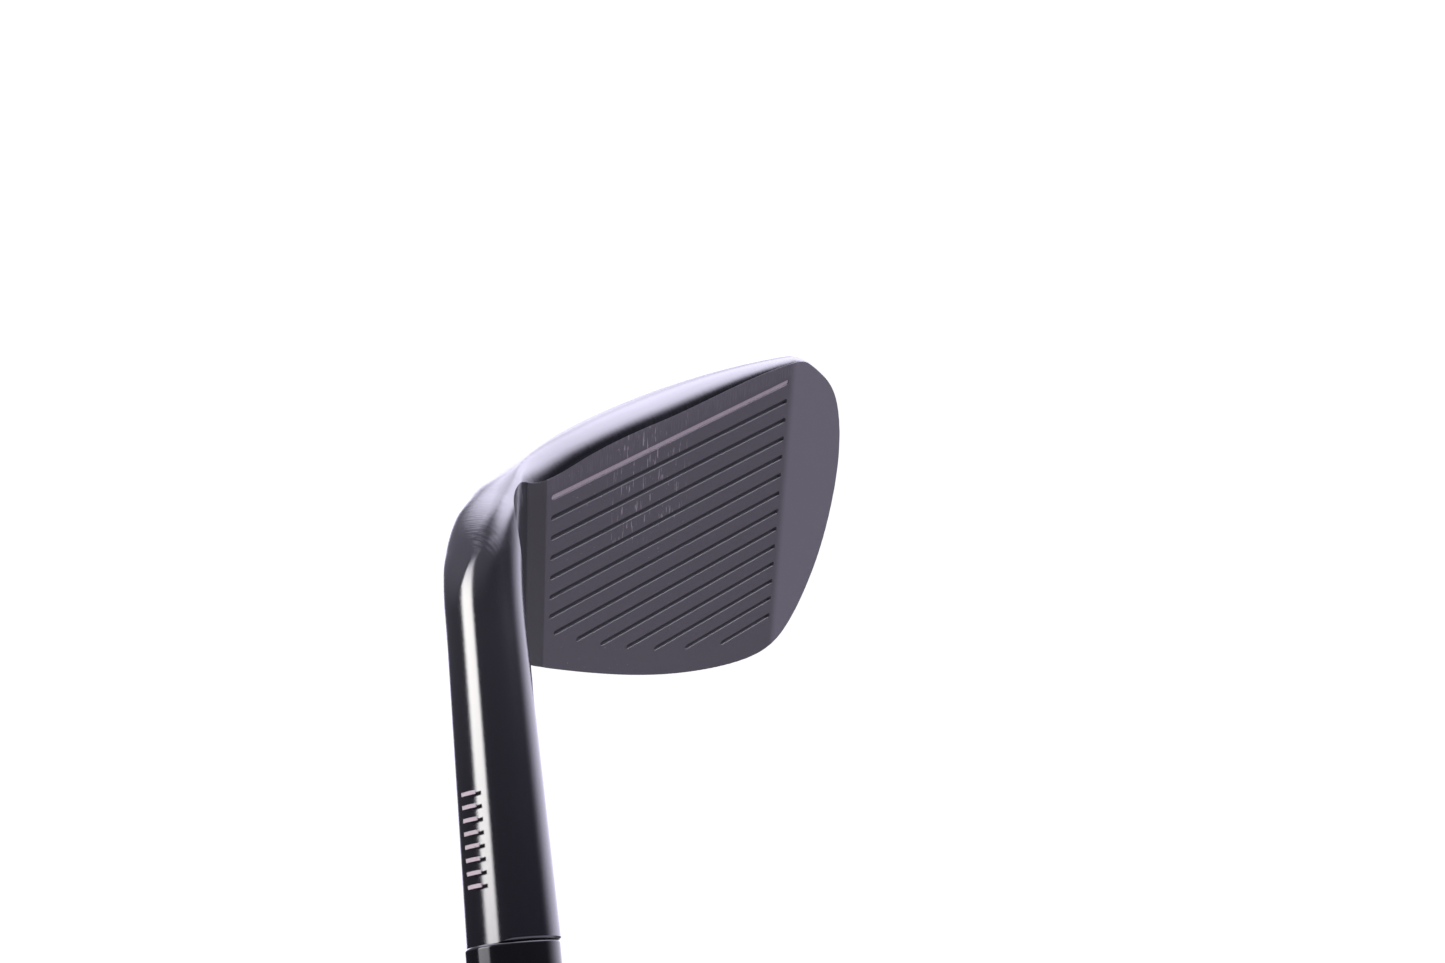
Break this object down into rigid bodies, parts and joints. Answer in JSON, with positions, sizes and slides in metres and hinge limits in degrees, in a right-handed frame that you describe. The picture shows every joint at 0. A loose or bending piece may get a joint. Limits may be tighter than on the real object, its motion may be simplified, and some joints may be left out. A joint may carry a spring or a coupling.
{
  "type": "iron golf club",
  "caption": "Right-handed short iron: black forged head with milled score lines, stepped steel shaft, ferrule and rubber grip.",
  "frame": {"origin": "middle of the vent hole in the butt's flat end, on the shaft's axis", "axes": "+Z along the shaft's axis from the butt to the head, +X the way the toe points, -Y the way the face looks"},
  "size_m": [0.1027, 0.0536, 0.9428],
  "materials": {
    "black_steel": "black oxide, glossy on the hosel and sole, satin and blasted on the face",
    "line_paint": "matt enamel fill",
    "foam_tape": "matt foam adhesive",
    "badge_metal": "anodised, finely brushed",
    "ferrule_plastic": "polished",
    "epoxy": "cured, dull",
    "weight_brass": "turned",
    "shaft_chrome": "bright plated",
    "band_foil": "gloss film with plain stripes",
    "paper_tape": "masking paper",
    "grip_rubber": "matt, moulded texture",
    "cap_rubber": "matt, smooth"
  },
  "bodies": {
    "root": {"head": "black_steel", "score_line_paint": "line_paint", "hosel_mark_fill": "line_paint", "badge_tape": "foam_tape", "cavity_badge": "badge_metal", "ferrule": "ferrule_plastic", "hosel_epoxy": "epoxy", "tip_weight": "weight_brass", "shaft": "shaft_chrome", "shaft_band": "band_foil", "grip_tape": "paper_tape", "grip": "grip_rubber", "grip_cap": "cap_rubber"}
  },
  "joints": []
}
